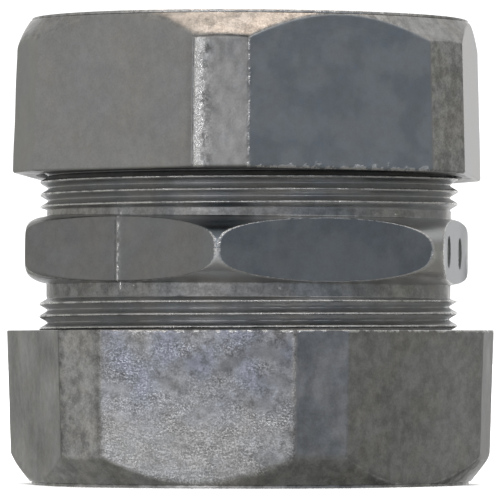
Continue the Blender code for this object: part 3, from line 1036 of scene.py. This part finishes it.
def cast_zinc(name, base, mottle, grain, roughness, cool, bluish):
    """Raw die-cast zinc. mottle is how patchy its tarnish is, grain its fine roughness and cool how
    blue its cooler patches are. bluish is its colour where it is cool all over. Sandy areas get a painted
    sparkle, and rubbed areas and painted glints turn bright and rough."""
    material = bpy.data.materials.new(name)
    n = Nodes(material)
    wear_and_glint, sand, tone, blue = (n.attribute(layer) for layer in ("wear_and_glint", "sand", "tone", "cool"))
    cloud = n.spread(n.noise(5.5 * MM, 5, 0.6))
    spots = n.spread(n.noise(1.3 * MM, 4, 0.65, offset=3.0))
    uneven = n.noise(3 * MM, 4, 0.6, offset=10.0, upright=1.3 * MM)
    sandy = n.times(n.ramp(sand, 0.30, 1.0), n.ramp(uneven, 0.35, 0.65, 0.55, 1.15))
    calm = n.ramp(sand, 0.0, 0.1, 0.03, 1.0)
    # Rubbed metal and painted glints and highlights both turn bright here
    bare_and_glint = n.ramp(n.times(wear_and_glint, n.noise(0.34 * MM, 3, 0.7, offset=5.0)), 0.27, 0.42)

    patch = n.ramp(n.noise(6 * MM, 3, 0.6, offset=12.0), 0.35, 0.65)
    tint = n.mix(patch, grey(base, -cool), grey(base, 0.02))
    tint = n.mix(n.times(blue, n.ramp(spots, -0.5, 0.5, 0.7, 1.0)), tint, bluish)
    level = zinc_level(n, mottle, sand, tone, sandy, cloud, spots)
    level = n.math("MINIMUM", n.math("MAXIMUM", level, 0.2), 0.95 / base)
    colour = n.mix(bare_and_glint, n.scaled(tint, level), grey(0.97, 0.01))
    soft = n.times(n.ramp(cloud, -0.3, 0.3, -0.04, 0.05), calm)
    soft = n.plus(n.math("SUBTRACT", soft, n.times(bare_and_glint, 0.10)), roughness)
    n.metal(colour, soft, zinc_relief(n, grain, calm, sandy, wear_and_glint))
    return material


def ring_steel():
    """Zinc-plated steel strip with faint rolling marks along it."""
    material = bpy.data.materials.new("plated_ring_steel")
    n = Nodes(material)
    lines = n.noise(9 * MM, 3, 0.6, upright=0.25 * MM)
    colour = n.mix(lines, grey(0.42), grey(0.62, 0.02))
    n.metal(colour, n.ramp(lines, 0.3, 0.7, 0.28, 0.42), n.bump(lines, 0.01 * MM))
    return material


def ring_sweep(vertices):
    """The angle where a CAD ring starts beside its slit, and how far round it goes."""
    turn = np.sort((np.arctan2(vertices[:, 1], vertices[:, 0]) - FRONT) % TURN)
    turn = turn[np.append(True, np.diff(turn) > math.radians(1))]
    gaps = np.diff(np.append(turn, turn[0] + TURN))
    slit = int(np.abs(gaps - SLIT_ANGLE).argmin())
    return turn[(slit + 1) % len(turn)], TURN - gaps[slit]


def ring_outline(length, inner, outer):
    """(z, radius) round the cross-section: two bevels outside, and rounded edges."""
    bevel, edge = STEEL_BEVEL, STEEL_EDGE
    outline = [(edge, inner), (0.0, inner + edge), (0.0, outer - bevel - edge)]
    outline += [(edge, outer - bevel + 0.5 * edge), (bevel - edge, outer - edge)]
    outline += [(bevel + edge, outer), (length - bevel - edge, outer)]
    return outline + [(length - z, radius) for z, radius in outline[4::-1]]


def build_ring(end, material):
    """A split ring where the CAD one is, with its edges rounded and its slit open."""
    node = f"{end}_compression_ring"
    low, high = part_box(node)
    vertices = np.array([v.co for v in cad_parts[node].data.vertices])
    radii = np.hypot(vertices[:, 0], vertices[:, 1])
    outline = ring_outline(high.z - low.z, radii.min() + 0.02 * MM, radii.max())
    begin, sweep = ring_sweep(vertices)
    bm = bmesh.new()
    sections = []
    for j in range(STEEL_COLUMNS + 1):
        angle = begin + sweep * j / STEEL_COLUMNS
        sections.append([bm.verts.new(polar(radius, angle, low.z + z)) for z, radius in outline])
    for left, right in zip(sections, sections[1:]):
        for i in range(len(outline)):
            after = (i + 1) % len(outline)
            bm.faces.new([left[i], right[i], right[after], left[after]])
    bm.faces.new(sections[0])
    bm.faces.new(sections[-1])
    bmesh.ops.recalc_face_normals(bm, faces=bm.faces)
    mesh = bpy.data.meshes.new(f"{end}_split_ring")
    bm.to_mesh(mesh)
    bm.free()
    return add_piece(f"{end}_split_ring", mesh, material, f"{end}_ring", node, sharp=30)


def softbox(name, azimuth, elevation, distance, size, radiance, colour):
    """An area light aimed at the object. Azimuth counts from the front."""
    data = bpy.data.lights.new(name, "AREA")
    data.shape = "RECTANGLE"
    data.size, data.size_y = size
    data.energy = radiance * math.pi * size[0] * size[1]
    data.color = colour
    light = put(name, data)
    turn, tilt = FRONT + math.radians(azimuth), math.radians(elevation)
    away = Vector((math.cos(turn) * math.cos(tilt), math.sin(turn) * math.cos(tilt), math.sin(tilt)))
    light.location = away * distance
    light.rotation_euler = away.to_track_quat("Z", "Y").to_euler()


def floor_wash():
    """Even light for the floor, left out of the metal's reflections."""
    data = bpy.data.lights.new("floor_wash", "SUN")
    data.energy = FLOOR_LIGHT
    data.angle = FLOOR_SPREAD
    put("floor_wash", data).visible_glossy = False


class Sky(Nodes):
    """Nodes for a world whose colour changes softly with direction."""

    def __init__(self, world):
        super().__init__(world)
        split = self.new("ShaderNodeSeparateXYZ")
        self.fill(split, {0: self.coordinates["Generated"]})
        self.axes = split.outputs

    def span(self, axis, low, high):
        return self.ramp(self.axes[axis], low, high)

    def sideways(self, stops):
        """A colour that changes from the left, at -1, to the right, at 1."""
        node = self.new("ShaderNodeValToRGB")
        node.color_ramp.interpolation = "EASE"
        elements = node.color_ramp.elements
        while len(elements) < len(stops):
            elements.new(0.5)
        for element, (place, colour) in zip(elements, stops):
            element.position = (place + 1) / 2
            element.color = (*colour, 1.0)
        self.fill(node, {"Fac": self.math("MULTIPLY_ADD", self.axes["X"], 0.5, 0.5)})
        return node.outputs["Color"]


def room():
    """The room: white behind the object, dimmer round it, cool on the right and dark below."""
    world = bpy.data.worlds.new("studio")
    sky = Sky(world)
    level = sky.mix(sky.span("Y", -0.1, 0.4), sky.sideways(ROOM_FRONT), sky.sideways(ROOM_REAR))
    high = sky.mix(sky.span("Z", 0.25, 0.6), level, sky.sideways(ROOM_UPPER))
    below = sky.mix(sky.span("Z", -0.95, -0.55), ROOM_BELOW, sky.sideways(ROOM_LOW))
    low = sky.mix(sky.span("Z", -0.45, -0.08), below, high)
    whole = sky.mix(sky.span("Y", 0.86, 0.955), low, ROOM_BACK)
    background = sky.tree.nodes["Background"]
    sky.fill(background, {"Color": whole})
    background.inputs["Strength"].default_value = 1.0
    bpy.context.scene.world = world


def stage(floor_z):
    mesh = bpy.data.meshes.new("floor")
    half = FLOOR_SIZE / 2
    corners = [(-half, -half), (half, -half), (half, half), (-half, half)]
    mesh.from_pydata([(x, y, floor_z) for x, y in corners], [], [(0, 1, 2, 3)])
    material = bpy.data.materials.new("pale_floor")
    material.use_nodes = True
    shader = material.node_tree.nodes["Principled BSDF"]
    shader.inputs["Base Color"].default_value = (0.92, 0.92, 0.92, 1.0)
    shader.inputs["Roughness"].default_value = 0.9
    mesh.materials.append(material)
    floor = put("floor", mesh)
    floor.visible_glossy = False


def camera():
    data = bpy.data.cameras.new("camera")
    data.lens = LENS
    data.sensor_width = SENSOR
    data.clip_start = 0.01
    data.clip_end = 50.0
    cam = put("camera", data)
    cam.location = (0.0, -CAMERA_DISTANCE, -CAMERA_DROP)
    cam.rotation_euler = (math.radians(90) + PITCH_UP, 0.0, YAW)
    bpy.context.scene.camera = cam


def build_nuts():
    zinc = cast_zinc(
        "cast_zinc_upper_nut", base=0.53, mottle=0.16, grain=0.8, roughness=0.38, cool=0.01,
        bluish=grey(0.53, -0.15),
    )
    shape = NutShape(
        "upper_compression_nut", UPPER_NUT_TURN, chamfer_height=3.55 * MM, spare=0.06 * MM,
        blends=(0.9 * MM, 0.2 * MM), finish=UPPER_FINISH, seed=21,
    )
    build_nut(
        "upper", shape, UPPER_CREST_Z, UPPER_FILLET, upper_nut_finish_and_light, zinc,
        UPPER_NUT_LEAN, upper_nut_sag,
    )
    zinc = cast_zinc(
        "cast_zinc_lower_nut", base=0.50, mottle=0.36, grain=1.2, roughness=0.38, cool=0.01,
        bluish=(0.475, 0.495, 0.575, 1.0),
    )
    shape = NutShape(
        "lower_compression_nut", LOWER_NUT_TURN, chamfer_height=3.8 * MM, spare=0.08 * MM,
        blends=(0.25 * MM, 0.6 * MM), finish=LOWER_FINISH, seed=31, wider=0.26 * MM,
    )
    build_nut("lower", shape, LOWER_CREST_Z, LOWER_FILLET, lower_nut_finish_and_light, zinc)


def main():
    zinc = cast_zinc(
        "cast_zinc_body", base=0.50, mottle=0.18, grain=0.8, roughness=0.36, cool=0.02,
        bluish=grey(0.50, -0.15),
    )
    build_body(zinc)
    build_nuts()
    steel = ring_steel()
    for end in ("upper", "lower"):
        build_ring(end, steel)
    room()
    stage(cad_bounds[0].z)
    for name, settings in SOFTBOXES.items():
        softbox(name, *settings)
    floor_wash()
    camera()
    bpy.context.scene.view_settings.view_transform = "Standard"


main()
